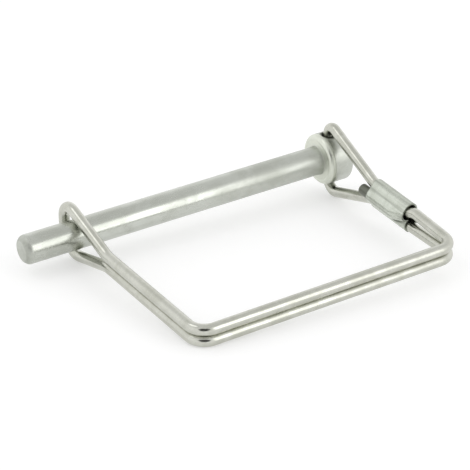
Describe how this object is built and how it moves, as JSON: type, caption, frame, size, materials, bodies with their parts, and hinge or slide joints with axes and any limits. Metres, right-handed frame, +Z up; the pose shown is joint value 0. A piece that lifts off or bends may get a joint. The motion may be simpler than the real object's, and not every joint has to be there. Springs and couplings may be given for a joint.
{
  "type": "wire lock pin",
  "caption": "Headed steel pin with a square spring-wire bail that turns in the head's cross hole and closes over the tip with an eye.",
  "frame": {"origin": "centre of the shank at the underside of the head", "axes": "+X towards the head, about along the pin, +Y away from the bail, +Z up as the thing lies at rest on its wire; the pin's own axis is tipped 2.4 degrees from X, head up"},
  "size_m": [0.0984, 0.0679, 0.022],
  "materials": {
    "pin_zinc": "bright zinc plating, satin",
    "wire_zinc": "bright zinc plating, drawn wire",
    "sleeve_zinc": "bright zinc plating, satin"
  },
  "bodies": {
    "pin": {"pin": "pin_zinc"},
    "bail": {"wire_bail": "wire_zinc", "ferrule": "sleeve_zinc"}
  },
  "joints": [
    {"name": "bail_swing", "type": "hinge", "parent": "pin", "child": "bail", "pos_m": [0.0038, -0.00001, 0.00016], "axis": [-0.0422, -0.082, 0.9957], "range_deg": [0, 240], "deforming": ["wire_bail"]}
  ]
}
